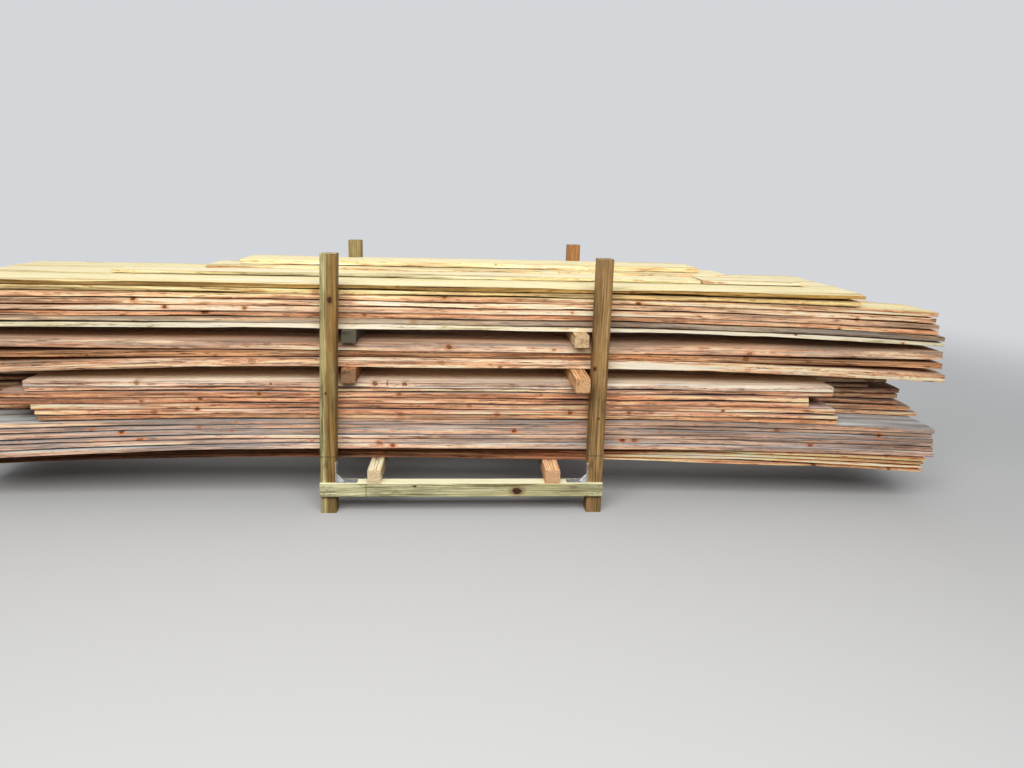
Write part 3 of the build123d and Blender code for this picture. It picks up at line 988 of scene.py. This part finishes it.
def cradle_material(name, palette, axis, heart, knots=(), crown=None, side=None, kerf=None, ends=1.0):
    """Sawn timber on one of the model's own square pieces, with the grain along one axis."""
    g = Graph(name)
    coords = g.object_place()
    parts = g.split(g.vector("SUBTRACT", coords, heart))
    place = g.join(*(parts[k] for k in AXIS_ORDER[axis]))
    far = knot_distance(g, coords, place, knots)
    rings, streak, fibre = wood_figure(g, place, far, CRADLE_RING)
    lines, checks = g.stretched(place, *CRADLE_LINES), g.marks(place, *CRADLE_CHECKS)
    colour = cradle_wood(g, palette, coords, place, far, side, rings, lines, streak, checks)
    if kerf:
        along, width = kerf
        near = g.math("ABSOLUTE", g.math("SUBTRACT", g.split(coords)["XYZ".index(axis)], along))
        colour = g.over(colour, linear(62, 52, 34), 0.8, g.step(near, width, width * 0.4))
    if crown:
        bright = g.over(crown, palette[0], 0.5, g.step(lines, 0.52, 0.7))
        colour = g.mix(g.facing("Z"), colour, bright)
    colour = g.mix(g.facing(axis), colour, cradle_end(g, place, palette, ends))
    colour = g.vector("MINIMUM", colour, CRADLE_LIMIT)
    g.relief(0.8, 0.002, (streak, 0.9), (fibre, 0.5), (lines, 0.6), (checks, -1.0))
    return g.finish(colour, g.math("ADD", 0.62, g.times(streak, 0.3), clamp=True), 0.22)


def metal_material(name, light, dark, rust):
    """Zinc on steel: a mottled, dull metal with a little dirt."""
    g = Graph(name)
    coords = g.object_place()
    mottle = g.noise(coords, 180, 3, 0.6)
    colour = g.mix(g.step(mottle, 0.35, 0.65), light, dark)
    dirt_and_shade = g.step(g.noise(coords, 45, 4, 0.7), 0.58, 0.72)
    colour = g.over(colour, linear(122, 104, 78), rust, dirt_and_shade)
    g.shader.inputs["Metallic"].default_value = 0.75
    g.relief(0.25, 0.0006, (mottle, 1.0))
    return g.finish(colour, g.spread(mottle, 0.38, 0.3), 0.5)


POSTS = {
    "post_front_left": (linear(202, 192, 138), linear(150, 132, 84), linear(84, 70, 42)),
    "post_front_right": (linear(168, 134, 86), linear(132, 100, 58), linear(88, 62, 36)),
    "post_rear_left": (linear(172, 158, 106), linear(138, 112, 64), linear(94, 74, 44)),
    "post_rear_right": (linear(186, 136, 86), linear(146, 94, 52), linear(98, 62, 36)),
}
# Knots on the posts' and rails' fronts: X, Z, and the radii along each axis
POST_KNOTS = {
    "post_front_left": ((-0.515, 1.074, (0.012, 0.03, 0.017)), (-0.545, 0.62, (0.005, 0.02, 0.008))),
    "post_front_right": ((0.757, 0.754, (0.009, 0.02, 0.011)), (0.79, 0.5, (0.004, 0.02, 0.006))),
}
RAIL_KNOTS = ((0.39, 0.1234, (0.026, 0.03, 0.018)), (-0.12, 0.15, (0.006, 0.02, 0.005)))
# Where a saw has cut across the grain, and half the width of the mark
POST_SCARS = {"post_front_left": (0.296, 0.003), "post_front_right": (0.304, 0.003)}
RAIL_SCAR = (-0.36, 0.0025)
RAIL_PALETTE = (linear(208, 204, 160), linear(164, 152, 106), linear(96, 84, 52))
HEARTWOOD, HEARTWOOD_FROM = linear(142, 108, 58), 0.03
BEARER_STAIN = linear(150, 104, 64)
BEARERS = {
    "bearer_left": (linear(255, 240, 200), linear(228, 190, 140), BEARER_STAIN),
    "bearer_right": (linear(252, 202, 154), linear(214, 148, 98), BEARER_STAIN),
}
SPACERS = {
    "spacer_upper_left": (linear(120, 112, 94), linear(74, 66, 54), linear(24, 21, 17)),
    "spacer_upper_right": (linear(234, 204, 158), linear(200, 160, 112), linear(136, 100, 66)),
    "spacer_lower_left": (linear(206, 144, 96), linear(134, 86, 52), linear(66, 40, 25)),
    "spacer_lower_right": (linear(244, 196, 142), linear(206, 140, 88), linear(112, 66, 38)),
}
SPACER_ENDS = {"spacer_upper_left": 0.6, "spacer_lower_left": 0.75}
POST_TOP, RAIL_TOP = linear(232, 222, 180), linear(252, 246, 204)


def dress(node, material):
    """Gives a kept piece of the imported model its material."""
    data = nodes[node].data
    data.materials.clear()
    data.materials.append(material)


def middle_of(node):
    low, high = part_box(node)
    return (low + high) / 2


def front_knots(face, knots):
    """Knots on a front face, as centres and radii."""
    return [((x, face, z), radii) for x, z, radii in knots]


def finish_posts():
    """The four posts; the left front one has heartwood on its right side."""
    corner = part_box("post_front_left")[0]
    for node, palette in POSTS.items():
        centre = middle_of(node)
        heart = (centre.x + 0.055, centre.y + 0.03, 0)
        side = (corner.x + HEARTWOOD_FROM, HEARTWOOD) if node == "post_front_left" else None
        knots = front_knots(corner.y, POST_KNOTS.get(node, ()))
        dress(node, cradle_material(node, palette, "Z", heart, knots, POST_TOP, side,
                                    POST_SCARS.get(node)))


def finish_rails():
    """The two cross rails, with a large knot right of their middle."""
    for node in ("rail_front", "rail_rear"):
        centre = middle_of(node)
        heart = (0, centre.y + 0.05, centre.z - 0.06)
        knots = front_knots(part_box(node)[0].y, RAIL_KNOTS)
        dress(node, cradle_material(node, RAIL_PALETTE, "X", heart, knots, RAIL_TOP, kerf=RAIL_SCAR))


def finish_cross_pieces():
    """The two bearers under the load and the four spacers in it."""
    for node, palette in BEARERS.items():
        centre = middle_of(node)
        dress(node, cradle_material(node, palette, "Y", (centre.x + 0.03, 0, centre.z - 0.05)))
    for node, palette in SPACERS.items():
        centre = middle_of(node)
        dress(node, cradle_material(node, palette, "Y", (centre.x + 0.02, 0, centre.z + 0.03),
                                    ends=SPACER_ENDS.get(node, 1.0)))


def finish_metal():
    """The brackets and the screws."""
    zinc = metal_material("zinc", linear(206, 208, 206), linear(168, 172, 172), 0.35)
    for corner in ("front_left", "front_right", "rear_left", "rear_right"):
        dress("bracket_" + corner, zinc)
    steel = metal_material("screw_zinc", linear(188, 184, 170), linear(140, 136, 124), 0.6)
    for node in ("rail_screws", "bracket_screws"):
        dress(node, steel)


make_stage()
make_light()
make_camera()
finish_posts()
finish_rails()
finish_cross_pieces()
finish_metal()
make_boards()
bpy.context.scene.view_settings.view_transform = "Standard"
